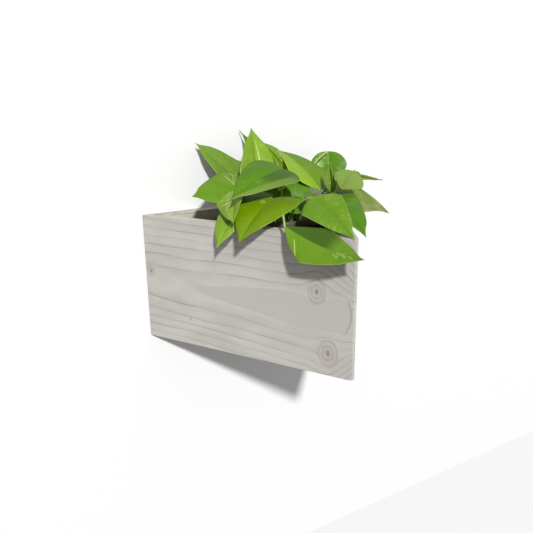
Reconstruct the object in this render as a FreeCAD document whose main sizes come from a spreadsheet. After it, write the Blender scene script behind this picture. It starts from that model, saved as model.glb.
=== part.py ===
import FreeCAD, Part
import itertools
import os
import sys

import Sketcher

# Wall planter: three whitewashed boards mitred into an equilateral triangle in plan, a floor board let in between
# them, two keyhole hangers let into the back board, and a potted trailing plant that lifts out of the top.
# Millimetres, +Z up, +Y into the wall. The origin is the centre of the back board's wall face.

doc = FreeCAD.newDocument("wall_planter")
sizes = doc.addObject("Spreadsheet::Sheet", "Sizes")
rows = itertools.count(1)


def size(alias, value):
    row = next(rows)
    sizes.set(f"A{row}", alias)
    sizes.set(f"B{row}", str(value))
    sizes.setAlias(f"B{row}", alias)


measures = {
    # boards
    "board_length": 252,        # outer side of the triangle
    "board_height": 140,        # board width as sawn, standing upright
    "board_thick": 12,
    "corner_round": 2,          # sanded upright corners
    "foot_round": 6,            # lower corners of each board, seen face on
    "top_round": 2.5,           # upper corners of each board, seen face on
    "floor_thick": 12,
    "floor_recess": 3,          # floor board above the boards' lower edges
    # brads
    "brad_radius": 0.6,
    "brad_fit": 0.05,           # radial room in the pilot holes
    "brad_set": 1,              # head below the face, filled flush
    "floor_brad_length": 25,
    "floor_brad_spacing": 100,  # two through each board into the floor
    "corner_brad_length": 13,
    "corner_brad_inset": 11,    # from the sharp corner, along the face
    "corner_brad_pitch": 45,    # three up each corner
    # keyhole hangers
    "hanger_spacing": 140,      # between the two keyholes
    "hanger_drop": 32,          # keyhole entry below the boards' top edge
    "plate_length": 44,
    "plate_width": 16,
    "plate_thick": 1.6,
    "plate_fit": 0.15,          # room round the plate in its recess
    "entry_radius": 4.75,       # round entry of the keyhole
    "slot_radius": 2.5,         # half the width of the keyhole's neck
    "slot_rise": 9,             # entry centre to the end of the neck
    "head_room_radius": 6,      # wall screw's head behind the plate
    "head_room_depth": 6,       # behind the plate
    "screw_radius": 1.5,
    "screw_fit": 0.1,           # radial room round each screw
    "screw_head_radius": 2.7,
    "screw_length": 9,          # from the plate's face
    "screw_spacing": 34,        # between the two screws of a plate
    "cross_width": 0.8,         # recess in the screw heads
    "cross_depth": 0.7,
    # pot and soil
    "pot_height": 127,
    "pot_room": 2.9,            # pot's rim to the boards
    "pot_foot_radius": 43,      # outside, at the foot
    "pot_wall": 1.2,
    "pot_floor": 1.8,
    "rim_reach": 1.8,           # rim beyond the wall
    "rim_depth": 9,
    "drain_radius": 4,
    "drain_circle": 28,         # radius of the ring of drain holes
    "drain_count": 6,
    "soil_below_rim": 18,
    "soil_fit": 0.3,            # soil to pot wall
    # plant
    "plant_face": 72.7,         # middle to the outer faces of the planter that the plant has grown in
    "rim_clear": 2,             # rim above the boards that the plant clears as it has grown
    "leaf_thick": 1,
    "petiole_radius": 1.3,
    "petiole_sink": 1.2,        # petiole run on into the blade
    "lobe_out": 0.5,            # share of the half width at which the lobes reach furthest back
    "flank_out": 0.6,           # share of the half width left halfway from the widest point to the tip
    "stem_radius": 3,           # at the soil
    "stem_tip_radius": 2,
    "stem_fit": 0.05,           # stems above the soil
}

# Where each stem stands in the soil, right of and behind the middle, and its tip above the mouth.
stems = {"stem_a": (-12, -8, 10), "stem_b": (10, -18, 6), "stem_c": (22, -8, 8), "stem_d": (0, 14, 14)}
stemKeys = ("right", "behind", "above")

# Each leaf: the petiole's joint with the blade (right of, behind and above the middle of the mouth); the
# midrib's heading from +X, its pitch and the blade's roll; length, width, bend radius of the midrib and fold of the
# two halves; the shares of the length that the lobes reach behind the joint and at which the blade is widest; and
# the petiole's foot in the soil, right of and behind the middle.
leafKeys = ("right", "behind", "above", "heading", "pitch", "roll", "length", "width", "bend", "fold", "lobe",
            "widest", "foot_right", "foot_behind")
leafLengths = ("right", "behind", "above", "length", "width", "bend", "foot_right", "foot_behind")
leaves = {
    "leaf_01": (-17, 49, 31, 162, 44, -40, 64, 47, 1000, 5, 0.12, 0.22, -10, 22),
    "leaf_02": (-31, 18, 30, -168, -2, -39, 64, 52, 1000, -10, 0.15, 0.22, -22, 10),
    "leaf_03": (-11, 18, 32, 58, 67, 35, 67, 50, 185, 15, 0.1, 0.22, -6, 8),
    "leaf_04": (-6, -27, 51, -159, -2, -19, 78, 55, 139, -2, 0.05, 0.25, 2, -12),
    "leaf_05": (-29, -45, 24.5, -154, -13, -4, 66, 64, 111, 7, 0.15, 0.22, -10, -24),
    "leaf_06": (-52, -11, 30, -125, -21, 38, 54, 42, 260, 8, 0.12, 0.22, -30, -4),
    "leaf_07": (-60, -25, 11, -152, -34, 6, 46, 35, 250, 3, 0.1, 0.22, -32, -14),
    "leaf_08": (-44, -91, 7, -64, -25, 35, 93, 46, -145, -8, -0.14, 0.37, -19, -41),
    "leaf_09": (0, -72, 27, -95, -15, 22, 77, 44, 370, 2, -0.07, 0.25, -6, -37),
    "leaf_10": (31, -50, 21, -93, -8, -5, 80, 57, 190, 12, 0.08, 0.22, 16, -28),
    "leaf_11": (68, -33, 16, -3, -8, 27, 80, 61, 155, 7, 0.12, 0.22, 42, -18),
    "leaf_12": (75, -43.5, 45, -148, -22, 153, 43, 34, 300, 8, -0.05, 0.4, 48, -14),
    "leaf_13": (56, -32, 20, 10, 103, 22, 38, 15, 250, 31, -0.1, 0.35, 30, -16),
    "leaf_14": (47, -19, 24, 89, 36, 13, 92, 70, 207, 6, -0.02, 0.22, 30, -2),
    "leaf_15": (15, 32, 43, 126, 50, -60, 60, 39, 188, 10, 0.05, 0.27, 10, 12),
    "leaf_16": (101, 39, 57, -123, -62, 0, 54, 44, 120, 8, -0.04, 0.32, 42, 14),
    "leaf_17": (12, 8, 34, -120, -12, -20, 28, 22, 120, 8, 0.12, 0.22, 20, 6),
    "leaf_18": (25, -8, 18, 172, 0, -10, 22, 24, 150, 8, 0.12, 0.22, 27, 0),
}

for measure, number in measures.items():
    size(measure, number)
for stem, numbers in stems.items():
    for key, number in zip(stemKeys, numbers):
        size(f"{stem}_{key}", number)
for leaf, numbers in leaves.items():
    for key, number in zip(leafKeys, numbers):
        size(f"{leaf}_{key}", number)
doc.recompute()

# --- worked out from the sizes ------------------------------------------------------------------------------------
half = "Sizes.board_length / 2"
face = f"({half} * tan(30deg))"              # middle of the triangle to a board's outer face
inner = f"({face} - Sizes.board_thick)"
low = "(-Sizes.board_height / 2)"            # the boards' lower edges
high = "(Sizes.board_height / 2)"
floorTop = f"({low} + Sizes.floor_recess + Sizes.floor_thick)"
potTop = f"({floorTop} + Sizes.pot_height)"
soilTop = f"({potTop} - Sizes.soil_below_rim)"
rimRadius = f"({inner} - Sizes.pot_room)"
potTopRadius = f"({rimRadius} - Sizes.rim_reach)"
scale = f"({face} / Sizes.plant_face)"          # the plant spreads with the planter
mouth = f"max({high}; {potTop} - Sizes.rim_clear)"
fullTurn = 360
sweep = 170                                     # of a blade's skins, short of half a turn
tolerance = 1e-6


def worth(expression):
    return float(sizes.evalExpression(expression))


def addPlacement(piece, x="0", y="0", z="0", yaw="0", pitch="0", roll="0"):
    piece.setExpression("Placement", f"placement(vector({x}; {y}; {z}); rotation({yaw}; {pitch}; {roll}))")


def newSketch(body, name, plane, rise="0", turn="0"):
    """Sketch on one of the body's own planes, raised along its normal and turned about the sketch's own Y."""
    sketch = body.newObject("Sketcher::SketchObject", name)
    sketch.AttachmentSupport = (next(f for f in body.Origin.OriginFeatures if f.Role == plane), "")
    sketch.MapMode = "FlatFace"
    sketch.setExpression("AttachmentOffset", f"placement(vector({rise} * sin({turn}deg); 0; {rise} * cos({turn}deg));"
                         f" rotation(0; {turn}; 0))")
    return sketch


def pin(sketch, geometry, point, x, y):
    """Holds one point of a sketch at x, y, both written in the sheet's sizes."""
    for kind, expression in (("DistanceX", x), ("DistanceY", y)):
        number = sketch.addConstraint(Sketcher.Constraint(kind, -1, 1, geometry, point, worth(expression)))
        name = f"at{geometry}_{point}_{kind[-1]}"
        sketch.renameConstraint(number, name)
        sketch.setExpression(f"Constraints.{name}", expression)


def outline(sketch, corners):
    """Closed outline through corners (x, y). A corner with four entries (x, y, bulge x, bulge y) starts an arc that
    passes through the bulge on its way to the next corner."""
    count = len(corners)
    points = [FreeCAD.Vector(worth(c[0]), worth(c[1]), 0) for c in corners]
    edges = []
    for i, corner in enumerate(corners):
        here, there = points[i], points[(i + 1) % count]
        if len(corner) == 2:
            edges.append((sketch.addGeometry(Part.LineSegment(here, there), False), 1, 2))
            continue
        bulge = FreeCAD.Vector(worth(corner[2]), worth(corner[3]), 0)
        # A sketch's arcs run anticlockwise, so one that bulges to the left of its chord is made end to start.
        if (there - here).cross(bulge - here).z < 0:
            edges.append((sketch.addGeometry(Part.Arc(here, bulge, there), False), 1, 2))
        else:
            edges.append((sketch.addGeometry(Part.Arc(there, bulge, here), False), 2, 1))
    for i, corner in enumerate(corners):
        edge, start, end = edges[i]
        after, afterStart, _ = edges[(i + 1) % count]
        sketch.addConstraint(Sketcher.Constraint("Coincident", edge, end, after, afterStart))
        pin(sketch, edge, start, *corner[:2])
        if len(corner) == 4:
            mark = sketch.addGeometry(Part.Point(FreeCAD.Vector(worth(corner[2]), worth(corner[3]), 0)), True)
            pin(sketch, mark, 1, *corner[2:])
            sketch.addConstraint(Sketcher.Constraint("PointOnObject", mark, 1, edge))


def circle(sketch, x, y, radius):
    centre = FreeCAD.Vector(worth(x), worth(y), 0)
    ring = sketch.addGeometry(Part.Circle(centre, FreeCAD.Vector(0, 0, 1), worth(radius)), False)
    pin(sketch, ring, 3, x, y)
    number = sketch.addConstraint(Sketcher.Constraint("Radius", ring, worth(radius)))
    sketch.renameConstraint(number, f"radius{ring}")
    sketch.setExpression(f"Constraints.radius{ring}", radius)


def newPad(body, name, sketch, length):
    pad = body.newObject("PartDesign::Pad", name)
    pad.Profile = sketch
    pad.setExpression("Length", length)


def newPocket(body, name, sketch, length=None, reversed=False):
    """A pocket of a given depth, or right through both ways; it must take something away."""
    doc.recompute()
    before = body.Shape.Volume
    pocket = body.newObject("PartDesign::Pocket", name)
    pocket.Profile = sketch
    if length is None:
        pocket.Midplane = True
        pocket.Type = "ThroughAll"
    else:
        pocket.setExpression("Length", length)
    pocket.Reversed = reversed
    doc.recompute()
    if not body.Shape.Volume < before:
        sys.exit(f"{body.Label} {name} cuts nothing")
    return pocket


def gather(label, pieces):
    group = doc.addObject("Part::Compound", label)
    group.Label = label
    group.Links = pieces
    return group


subparts = []


# --- boards -------------------------------------------------------------------------------------------------------
# Each board is drawn the same way about the middle of the triangle, its face to +Y, and then turned into place.
boardYaws = {"back_panel": 0, "front_panel": 120, "side_panel": 240}
floorBradRise = f"({low} + Sizes.floor_recess + Sizes.floor_thick / 2)"
cornerBradRises = [f"({n} * Sizes.corner_brad_pitch)" for n in (-1, 0, 1)]
floorBradTip = f"({face} - Sizes.brad_set - Sizes.floor_brad_length)"
cornerBradTip = f"({face} - Sizes.brad_set - Sizes.corner_brad_length)"
bore = "(Sizes.brad_radius + Sizes.brad_fit)"


def addBoard(label, yaw):
    board = doc.addObject("PartDesign::Body", label)
    board.Label = label
    plan = newSketch(board, label + "_plan", "XY_Plane", low)
    tangent = f"({half} - Sizes.corner_round / tan(30deg))"
    bow = f"({half} - 2 * Sizes.corner_round * cos(30deg) + Sizes.corner_round * cos(60deg))"
    bowRise = f"({face} - Sizes.corner_round + Sizes.corner_round * sin(60deg))"
    tip = f"({half} - Sizes.corner_round * cos(30deg))"
    tipRise = f"({face} - Sizes.corner_round * sin(30deg))"
    heel = f"({inner} / tan(30deg))"
    outline(plan, [
        (tangent, face, bow, bowRise),
        (tip, tipRise),
        (heel, inner),
        ("-" + heel, inner),
        ("-" + tip, tipRise, "-" + bow, bowRise),
        ("-" + tangent, face),
    ])
    newPad(board, label + "_blank", plan, "Sizes.board_height")
    ends = newSketch(board, label + "_end_shapes", "XZ_Plane")
    for side in ("", "-"):
        for edge, sign, radius in ((low, "+", "Sizes.foot_round"), (high, "-", "Sizes.top_round")):
            away = f"{edge} {sign} {radius}"
            outline(ends, [
                (f"{side}({half})", edge),
                (f"{side}({half})", away, f"{side}({half} - {radius} * (1 - cos(45deg)))",
                 f"{edge} {sign} {radius} * (1 - cos(45deg))"),
                (f"{side}({half} - {radius})", edge),
            ])
    newPocket(board, label + "_ends", ends)
    floorPilots = newSketch(board, label + "_floor_pilots", "XZ_Plane", f"-{floorBradTip}")
    for side in ("", "-"):
        circle(floorPilots, f"{side}Sizes.floor_brad_spacing / 2", floorBradRise, bore)
    newPocket(board, label + "_floor_bores", floorPilots, "Sizes.floor_brad_length")
    # Corner brads go in through this board's right-hand end; those of the next board come in through its left-hand
    # mitre.
    for name, turn in (("driven", 0), ("received", 120)):
        corner = newSketch(board, f"{label}_{name}", "XZ_Plane", f"-{cornerBradTip}", turn)
        for rise in cornerBradRises:
            circle(corner, f"({half} - Sizes.corner_brad_inset)", rise, bore)
        newPocket(board, f"{label}_{name}_bores", corner, "Sizes.corner_brad_length")
    addPlacement(board, "0", f"-{face}", "0", str(yaw))
    subparts.append(board)
    return board


for label, yaw in boardYaws.items():
    addBoard(label, yaw)

# Recesses in the back board: one lets the keyhole plate in flush, a deeper one behind it takes the wall screw's head.
backPanel = subparts[0]
plateRise = f"({high} - Sizes.hanger_drop + Sizes.slot_rise / 2)"
entryRise = f"({high} - Sizes.hanger_drop)"


def stadium(sketch, x, y, radius, straight):
    """Upright slot with round ends: radius is half its width, straight the length between the end centres."""
    top, bottom = f"({y} + {straight} / 2)", f"({y} - {straight} / 2)"
    outline(sketch, [
        (f"{x} + {radius}", bottom),
        (f"{x} + {radius}", top, x, f"{top} + {radius}"),
        (f"{x} - {radius}", top),
        (f"{x} - {radius}", bottom, x, f"{bottom} - {radius}"),
    ])


hangerSides = {"keyhole_hanger_left": "-", "keyhole_hanger_right": ""}
screwPlaces = [(f"({side}Sizes.hanger_spacing / 2)", f"({plateRise} {sign} Sizes.screw_spacing / 2)")
               for side in hangerSides.values() for sign in "-+"]
plateRecess = newSketch(backPanel, "plate_recess", "XZ_Plane", f"-{face}")
headRecess = newSketch(backPanel, "head_recess", "XZ_Plane", f"-{face}")
screwPilots = newSketch(backPanel, "screw_pilots", "XZ_Plane", f"-{face}")
for side in hangerSides.values():
    x = f"({side}Sizes.hanger_spacing / 2)"
    stadium(plateRecess, x, plateRise, "(Sizes.plate_width / 2 + Sizes.plate_fit)",
            "(Sizes.plate_length - Sizes.plate_width)")
    stadium(headRecess, x, plateRise, "Sizes.head_room_radius", "Sizes.slot_rise")
for x, z in screwPlaces:
    circle(screwPilots, x, z, "(Sizes.screw_radius + Sizes.screw_fit)")
newPocket(backPanel, "plate_recesses", plateRecess, "Sizes.plate_thick", True)
newPocket(backPanel, "head_recesses", headRecess, "(Sizes.plate_thick + Sizes.head_room_depth)", True)
newPocket(backPanel, "screw_bores", screwPilots, "(Sizes.screw_length + Sizes.screw_fit)", True)

# --- floor board --------------------------------------------------------------------------------------------------
floor = doc.addObject("PartDesign::Body", "floor_panel")
floor.Label = "floor_panel"
floorPlan = newSketch(floor, "floor_plan", "XY_Plane", f"({low} + Sizes.floor_recess)")
outline(floorPlan, [(f"({inner} / tan(30deg))", inner), (f"(-{inner} / tan(30deg))", inner), ("0", f"(-2 * {inner})")])
newPad(floor, "floor_blank", floorPlan, "Sizes.floor_thick")
for label, yaw in boardYaws.items():
    pilots = newSketch(floor, f"floor_pilots_{yaw}", "XZ_Plane", f"-{floorBradTip}", yaw)
    for side in ("", "-"):
        circle(pilots, f"{side}Sizes.floor_brad_spacing / 2", floorBradRise, bore)
    newPocket(floor, f"floor_bores_{yaw}", pilots, "Sizes.floor_brad_length")
addPlacement(floor, "0", f"-{face}")
subparts.append(floor)

# --- brads --------------------------------------------------------------------------------------------------------
def addBrads(label, places, tip, length):
    brads = []
    for yaw in boardYaws.values():
        for x, z in places:
            brad = doc.addObject("Part::Cylinder", f"{label}_{len(brads)}")
            brad.setExpression("Radius", "Sizes.brad_radius")
            brad.setExpression("Height", length)
            addPlacement(brad, f"({x} * cos({yaw}deg) - {tip} * sin({yaw}deg))",
                         f"({x} * sin({yaw}deg) + {tip} * cos({yaw}deg) - {face})", z, str(yaw), "0", "-90")
            brads.append(brad)
    subparts.append(gather(label, brads))


addBrads("floor_brads", [(f"({side}Sizes.floor_brad_spacing / 2)", floorBradRise) for side in ("", "-")],
         floorBradTip, "Sizes.floor_brad_length")
addBrads("corner_brads", [(f"({half} - Sizes.corner_brad_inset)", rise) for rise in cornerBradRises],
         cornerBradTip, "Sizes.corner_brad_length")

# --- keyhole hangers ----------------------------------------------------------------------------------------------
countersink = "(Sizes.screw_head_radius - Sizes.screw_radius)"


def addHanger(label, side):
    plate = doc.addObject("PartDesign::Body", label)
    plate.Label = label
    shape = newSketch(plate, label + "_plate", "XZ_Plane")
    stadium(shape, "0", "0", "(Sizes.plate_width / 2)", "(Sizes.plate_length - Sizes.plate_width)")
    newPad(plate, label + "_blank", shape, "Sizes.plate_thick")
    keyhole = newSketch(plate, label + "_keyhole", "XZ_Plane")
    entry, end = "(-Sizes.slot_rise / 2)", "(Sizes.slot_rise / 2)"
    shoulder = f"({entry} + sqrt(Sizes.entry_radius ^ 2 - Sizes.slot_radius ^ 2))"
    outline(keyhole, [
        ("Sizes.slot_radius", end, "0", f"({end} + Sizes.slot_radius)"),
        ("-Sizes.slot_radius", end),
        ("-Sizes.slot_radius", shoulder, "0", f"({entry} - Sizes.entry_radius)"),
        ("Sizes.slot_radius", shoulder),
    ])
    for sign in "-+":
        circle(keyhole, "0", f"({sign}Sizes.screw_spacing / 2)", "(Sizes.screw_radius + Sizes.screw_fit)")
    pocket = newPocket(plate, label + "_holes", keyhole)
    holeRadius = worth("Sizes.screw_radius + Sizes.screw_fit")
    rims = [f"Edge{n}" for n, edge in enumerate(pocket.Shape.Edges, 1)
            if edge.Curve.TypeId == "Part::GeomCircle" and abs(edge.Curve.Radius - holeRadius) < tolerance
            and abs(edge.CenterOfMass.y) < tolerance]
    sinks = plate.newObject("PartDesign::Chamfer", label + "_countersinks")
    sinks.Base = (pocket, rims)
    sinks.setExpression("Size", countersink)
    addPlacement(plate, f"({side}Sizes.hanger_spacing / 2)", "0", plateRise)
    subparts.append(plate)


for label, side in hangerSides.items():
    addHanger(label, side)


def addScrew(name, x, z):
    """Countersunk wood screw along +Y with a cross recess, its head just under the plate's face."""
    head = doc.addObject("Part::Cone", name + "_head")
    head.setExpression("Radius1", "Sizes.screw_head_radius")
    head.setExpression("Radius2", "Sizes.screw_radius")
    head.setExpression("Height", countersink)
    shank = doc.addObject("Part::Cylinder", name + "_shank")
    shank.setExpression("Radius", "Sizes.screw_radius")
    shank.setExpression("Height", "Sizes.screw_length")
    whole = doc.addObject("Part::Fuse", name + "_blank")
    whole.Base, whole.Tool = head, shank
    arms = []
    for length, width in (("screw_head_radius", "cross_width"), ("cross_width", "screw_head_radius")):
        arm = doc.addObject("Part::Box", f"{name}_cross_{length}")
        arm.setExpression("Length", f"Sizes.{length}")
        arm.setExpression("Width", f"Sizes.{width}")
        arm.setExpression("Height", "Sizes.cross_depth")
        addPlacement(arm, f"-Sizes.{length} / 2", f"-Sizes.{width} / 2")
        arms.append(arm)
    cross = doc.addObject("Part::Fuse", name + "_cross")
    cross.Base, cross.Tool = arms
    screw = doc.addObject("Part::Cut", name)
    screw.Base, screw.Tool = whole, cross
    addPlacement(screw, x, "-Sizes.screw_fit / 2", z, "0", "0", "90")
    return screw


subparts.append(gather("hanger_screws", [addScrew(f"screw_{n}", x, z) for n, (x, z) in enumerate(screwPlaces)]))

# --- pot and soil -------------------------------------------------------------------------------------------------
slope = f"(({potTopRadius} - Sizes.pot_foot_radius) / (Sizes.pot_height - Sizes.rim_depth))"
rimUnder = "(Sizes.pot_height - Sizes.rim_depth)"
pot = doc.addObject("PartDesign::Body", "nursery_pot")
pot.Label = "nursery_pot"
wall = newSketch(pot, "pot_section", "XZ_Plane")
outline(wall, [
    ("0", "0"),
    ("Sizes.pot_foot_radius", "0"),
    (potTopRadius, rimUnder),
    (rimRadius, rimUnder),
    (rimRadius, "Sizes.pot_height"),
    (f"({potTopRadius} - Sizes.pot_wall)", "Sizes.pot_height"),
    (f"({potTopRadius} - Sizes.pot_wall)", rimUnder),
    (f"(Sizes.pot_foot_radius - Sizes.pot_wall + {slope} * Sizes.pot_floor)", "Sizes.pot_floor"),
    ("0", "Sizes.pot_floor"),
])
shell = pot.newObject("PartDesign::Revolution", "pot_shell")
shell.Profile = wall
shell.ReferenceAxis = (wall, ["V_Axis"])
shell.Angle = fullTurn
drain = newSketch(pot, "pot_drain", "XY_Plane")
circle(drain, "Sizes.drain_circle", "0", "Sizes.drain_radius")
drains = newPocket(pot, "pot_drain_hole", drain)
ring = pot.newObject("PartDesign::PolarPattern", "pot_drain_holes")
ring.Originals = [drains]
ring.Axis = (drain, ["N_Axis"])
ring.Angle = fullTurn
ring.setExpression("Occurrences", "Sizes.drain_count")
pot.Tip = ring
addPlacement(pot, "0", f"-{face}", floorTop)
subparts.append(pot)

soil = doc.addObject("Part::Cone", "potting_soil")
soil.Label = "potting_soil"
soilHeight = f"(Sizes.pot_height - Sizes.soil_below_rim - Sizes.pot_floor)"
soil.setExpression("Height", soilHeight)
soil.setExpression("Radius1", f"(Sizes.pot_foot_radius - Sizes.pot_wall + {slope} * Sizes.pot_floor - Sizes.soil_fit)")
soil.setExpression("Radius2", f"(Sizes.pot_foot_radius - Sizes.pot_wall + {slope} * (Sizes.pot_floor + {soilHeight})"
                   " - Sizes.soil_fit)")
addPlacement(soil, "0", f"-{face}", f"({floorTop} + Sizes.pot_floor)")
subparts.append(soil)

# --- plant --------------------------------------------------------------------------------------------------------
def addStem(stem):
    cell = {key: f"(Sizes.{stem}_{key} * {scale})" for key in stemKeys}
    shoot = doc.addObject("Part::Cone", stem)
    shoot.setExpression("Radius1", "Sizes.stem_radius")
    shoot.setExpression("Radius2", "Sizes.stem_tip_radius")
    shoot.setExpression("Height", f"({mouth} + {cell['above']} - {soilTop} - Sizes.stem_fit)")
    addPlacement(shoot, cell["right"], f"({cell['behind']} - {face})", f"({soilTop} + Sizes.stem_fit)")
    return shoot


subparts.append(gather("vine_stems", [addStem(stem) for stem in stems]))


def addLeaf(leaf):
    """Heart-shaped blade, bent along its midrib and folded along it, on a petiole that rises upright from the soil
    and bends in one arc to the blade."""
    cell = {key: f"(Sizes.{leaf}_{key} * {scale})" if key in leafLengths else f"Sizes.{leaf}_{key}" for key in leafKeys}
    reach = f"({cell['bend']} * sin({cell['length']} / {cell['bend']} * 1rad))"
    wide = f"({cell['width']} / 2 * cos({cell['fold']} * 1deg))"
    lobe, lobeOut = f"(-{cell['lobe']} * {reach})", f"({wide} * Sizes.lobe_out)"
    widest = f"({cell['widest']} * {reach})"
    flank, flankOut = f"(({reach} + {widest}) / 2)", f"({wide} * Sizes.flank_out)"
    heart = doc.addObject("Sketcher::SketchObject", leaf + "_heart")
    outline(heart, [
        (reach, "0", flank, flankOut),
        (widest, wide, lobe, lobeOut),
        ("-Sizes.petiole_radius", "0", lobe, "-" + lobeOut),
        (widest, "-" + wide, flank, "-" + flankOut),
    ])
    prism = doc.addObject("Part::Extrusion", leaf + "_prism")
    prism.Base = heart
    prism.DirMode = "Custom"
    prism.Dir = FreeCAD.Vector(0, 0, 1)
    prism.Solid = True
    prism.setExpression("LengthFwd", cell["length"])
    prism.setExpression("LengthRev", cell["length"])

    # The blade's upper and lower skins: a V as wide as the blade, swept round the midrib's centre of bend.
    section = doc.addObject("Sketcher::SketchObject", leaf + "_section")
    section.Placement = FreeCAD.Placement(FreeCAD.Vector(), FreeCAD.Rotation(90, 0, 90))
    out = f"({wide} + Sizes.leaf_thick)"
    edgeRise = f"({out} * tan({cell['fold']} * 1deg))"
    outline(section, [
        ("0", "0"),
        (out, edgeRise),
        (out, f"({edgeRise} + Sizes.leaf_thick)"),
        ("0", "Sizes.leaf_thick"),
        ("-" + out, f"({edgeRise} + Sizes.leaf_thick)"),
        ("-" + out, edgeRise),
    ])
    sheet = doc.addObject("Part::Revolution", leaf + "_sheet")
    sheet.Source = section
    sheet.Axis = FreeCAD.Vector(0, 1, 0)
    sheet.setExpression("Base.z", "-" + cell["bend"])
    sheet.Angle = sweep
    sheet.Symmetric = True
    sheet.Solid = True
    blade = doc.addObject("Part::Common", leaf + "_blade")
    blade.Base, blade.Tool = prism, sheet
    jointX, jointY, jointZ = cell["right"], f"({cell['behind']} - {face})", f"({mouth} + {cell['above']})"
    addPlacement(blade, jointX, jointY, jointZ, cell["heading"], "-" + cell["pitch"], cell["roll"])

    footX, footY = cell["foot_right"], f"({cell['foot_behind']} - {face})"
    across = f"sqrt(({jointX} - {footX}) ^ 2 + ({jointY} - {footY}) ^ 2)"
    rise = f"({jointZ} - {soilTop})"
    bow = f"(({across} ^ 2 + {rise} ^ 2) / (2 * {across}))"
    toJoint = f"atan2({jointY} - {footY}; {jointX} - {footX})"
    petiole = doc.addObject("Part::Torus", leaf + "_petiole")
    petiole.setExpression("Radius1", bow)
    petiole.setExpression("Radius2", "Sizes.petiole_radius")
    petiole.setExpression("Angle3", f"2 * atan2({across}; {rise}) + Sizes.petiole_sink / {bow} * 1rad")
    addPlacement(petiole, f"({footX} + {bow} * cos({toJoint}))", f"({footY} + {bow} * sin({toJoint}))", soilTop,
                 f"({toJoint} + 180deg)", "0", "90")
    whole = doc.addObject("Part::Fuse", leaf)
    whole.Label = leaf
    whole.Base, whole.Tool = blade, petiole
    subparts.append(whole)


for leaf in leaves:
    addLeaf(leaf)

# --- check and write ----------------------------------------------------------------------------------------------
doc.recompute()
for thing in doc.Objects:
    if {"Invalid", "Error"} & set(thing.State):
        sys.exit(f"{thing.Label} failed: {thing.State}")
for part in subparts:
    if part.Shape.isNull() or not part.Shape.isValid():
        sys.exit(f"{part.Label} has no valid shape")
os.makedirs("parts", exist_ok=True)
for part in subparts:
    part.Shape.exportStep(f"parts/{part.Label}.step")
    print(f"{part.Label}: {len(part.Shape.Solids)} solids, {part.Shape.Volume:.0f} mm3")
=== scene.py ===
import math
import random

import bmesh
import bpy
from mathutils import Matrix, Vector, noise


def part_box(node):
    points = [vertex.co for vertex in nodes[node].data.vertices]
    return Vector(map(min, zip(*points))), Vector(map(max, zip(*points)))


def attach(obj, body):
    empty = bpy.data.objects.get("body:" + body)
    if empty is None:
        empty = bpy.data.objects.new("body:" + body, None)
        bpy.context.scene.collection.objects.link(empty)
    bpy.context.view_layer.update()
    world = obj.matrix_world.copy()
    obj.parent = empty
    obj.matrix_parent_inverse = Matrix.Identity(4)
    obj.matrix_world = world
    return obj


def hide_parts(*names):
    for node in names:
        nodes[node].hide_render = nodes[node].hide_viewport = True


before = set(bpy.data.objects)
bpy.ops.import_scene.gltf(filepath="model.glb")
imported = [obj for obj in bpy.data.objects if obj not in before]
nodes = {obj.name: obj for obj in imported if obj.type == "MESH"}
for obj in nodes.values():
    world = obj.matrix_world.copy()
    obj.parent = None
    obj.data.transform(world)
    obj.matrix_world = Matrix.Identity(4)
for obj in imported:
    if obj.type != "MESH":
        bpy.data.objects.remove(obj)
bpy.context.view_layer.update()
mm = 0.001
middle = Vector((0, -72.746, 0)) * mm      # middle of the triangle, in plan
mouth = 70 * mm                            # the boards' top edges
print("frame loaded")


# materials
def paint(red, green, blue):
    # a colour as a screen shows it, 0 to 255, as the shader's linear one
    def linear(value):
        share = value / 255
        return share / 12.92 if share <= 0.04045 else ((share + 0.055) / 1.055) ** 2.4
    return (linear(red), linear(green), linear(blue), 1)


def grey(level):
    return (level, level, level, 1)


class Signal:
    # A number or vector that runs through a material; arithmetic on a number adds Math nodes.
    def __init__(self, finish, socket):
        self.finish = finish
        self.socket = socket

    def __add__(self, other):
        return self.finish.math("ADD", self, other)

    def __sub__(self, other):
        return self.finish.math("SUBTRACT", self, other)

    def __rsub__(self, other):
        return self.finish.math("SUBTRACT", other, self)

    def __mul__(self, other):
        return self.finish.math("MULTIPLY", self, other)

    def __truediv__(self, other):
        return self.finish.math("DIVIDE", self, other)

    def __abs__(self):
        return self.finish.math("ABSOLUTE", self)

    __radd__ = __add__
    __rmul__ = __mul__


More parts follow.
